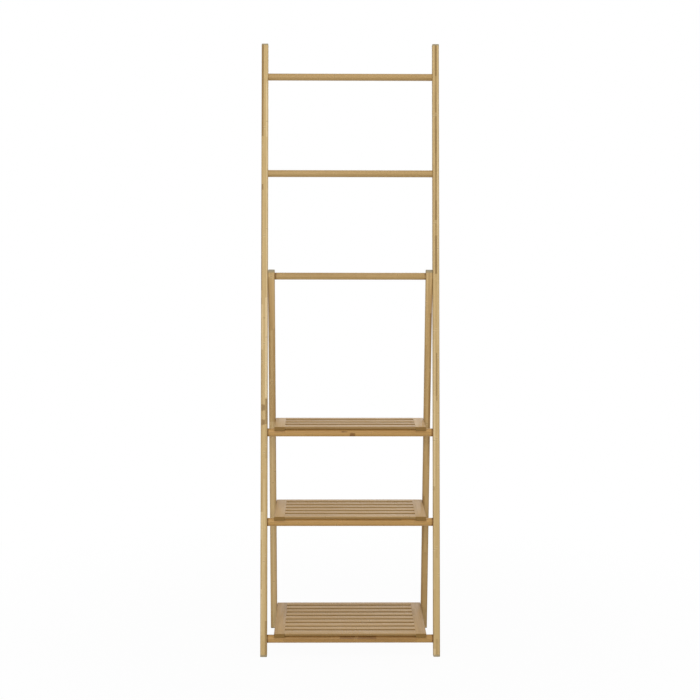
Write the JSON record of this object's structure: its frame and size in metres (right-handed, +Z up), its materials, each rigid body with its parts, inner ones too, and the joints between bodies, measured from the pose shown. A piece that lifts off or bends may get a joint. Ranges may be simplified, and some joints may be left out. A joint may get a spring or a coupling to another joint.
{
  "type": "clothes rack",
  "caption": "Folding bamboo ladder rack with hanging bars between two leaning rails and slatted shelves between the rails and a hinged rear frame.",
  "frame": {"origin": "on the floor, in the middle of the footprint of the unfolded rack", "axes": "+Z up, +Y towards the rear legs, +X to the right seen from the front"},
  "size_m": [0.51, 0.3244, 1.7354],
  "materials": {
    "bamboo_pale": "satin lacquered laminated bamboo, strips on edge",
    "bamboo_golden": "satin lacquered turned bamboo",
    "bamboo_slat": "satin lacquered laminated bamboo, flat strips",
    "zinc_steel": "zinc plated",
    "nylon": "natural"
  },
  "bodies": {
    "front_frame": {"rail_left": "bamboo_pale", "rail_right": "bamboo_pale", "hanging_bar_top": "bamboo_golden", "hanging_bar_top_screw_left": "zinc_steel", "hanging_bar_top_screw_right": "zinc_steel", "hanging_bar_lower": "bamboo_golden", "hanging_bar_lower_screw_left": "zinc_steel", "hanging_bar_lower_screw_right": "zinc_steel", "shelf_bar_top": "bamboo_golden", "shelf_bar_top_screw_left": "zinc_steel", "shelf_bar_top_screw_right": "zinc_steel", "shelf_bar_middle": "bamboo_golden", "shelf_bar_middle_screw_left": "zinc_steel", "shelf_bar_middle_screw_right": "zinc_steel", "shelf_bar_bottom": "bamboo_golden", "shelf_bar_bottom_screw_left": "zinc_steel", "shelf_bar_bottom_screw_right": "zinc_steel"},
    "rear_frame": {"pivot_bar": "bamboo_golden", "leg_left": "bamboo_pale", "leg_right": "bamboo_pale", "pivot_washer_left": "nylon", "pivot_washer_right": "nylon", "pivot_bolt_left": "zinc_steel", "pivot_bolt_right": "zinc_steel"},
    "shelf_top": {"shelf_top_side_left": "bamboo_slat", "shelf_top_side_right": "bamboo_slat", "shelf_top_hinge_bolt_left": "zinc_steel", "shelf_top_hinge_bolt_right": "zinc_steel", "shelf_top_slat_1": "bamboo_slat", "shelf_top_slat_2": "bamboo_slat", "shelf_top_slat_3": "bamboo_slat", "shelf_top_slat_4": "bamboo_slat"},
    "shelf_middle": {"shelf_middle_side_left": "bamboo_slat", "shelf_middle_side_right": "bamboo_slat", "shelf_middle_hinge_bolt_left": "zinc_steel", "shelf_middle_hinge_bolt_right": "zinc_steel", "shelf_middle_slat_1": "bamboo_slat", "shelf_middle_slat_2": "bamboo_slat", "shelf_middle_slat_3": "bamboo_slat", "shelf_middle_slat_4": "bamboo_slat", "shelf_middle_slat_5": "bamboo_slat", "shelf_middle_slat_6": "bamboo_slat"},
    "shelf_bottom": {"shelf_bottom_side_left": "bamboo_slat", "shelf_bottom_side_right": "bamboo_slat", "shelf_bottom_hinge_bolt_left": "zinc_steel", "shelf_bottom_hinge_bolt_right": "zinc_steel", "shelf_bottom_slat_1": "bamboo_slat", "shelf_bottom_slat_2": "bamboo_slat", "shelf_bottom_slat_3": "bamboo_slat", "shelf_bottom_slat_4": "bamboo_slat", "shelf_bottom_slat_5": "bamboo_slat", "shelf_bottom_slat_6": "bamboo_slat", "shelf_bottom_slat_7": "bamboo_slat", "shelf_bottom_slat_8": "bamboo_slat", "shelf_bottom_slat_9": "bamboo_slat"}
  },
  "joints": [
    {"name": "rear_frame_fold", "type": "hinge", "parent": "front_frame", "child": "rear_frame", "pos_m": [0, 0.0043, 1.07094], "axis": [-1, 0, 0], "range_deg": [0, 12.8]},
    {"name": "shelf_top_fold", "type": "hinge", "parent": "rear_frame", "child": "shelf_top", "pos_m": [0, 0.06247, 0.6435], "axis": [-1, 0, 0], "range_deg": [0, 82]},
    {"name": "shelf_middle_fold", "type": "hinge", "parent": "rear_frame", "child": "shelf_middle", "pos_m": [0, 0.09658, 0.39283], "axis": [-1, 0, 0], "range_deg": [0, 82]},
    {"name": "shelf_bottom_fold", "type": "hinge", "parent": "rear_frame", "child": "shelf_bottom", "pos_m": [0, 0.1408, 0.06794], "axis": [-1, 0, 0], "range_deg": [0, 82]}
  ],
  "couplings": [
    {"joint": "shelf_top_fold", "follows": "rear_frame_fold", "ratio": 6.4},
    {"joint": "shelf_middle_fold", "follows": "rear_frame_fold", "ratio": 6.4},
    {"joint": "shelf_bottom_fold", "follows": "rear_frame_fold", "ratio": 6.4}
  ]
}
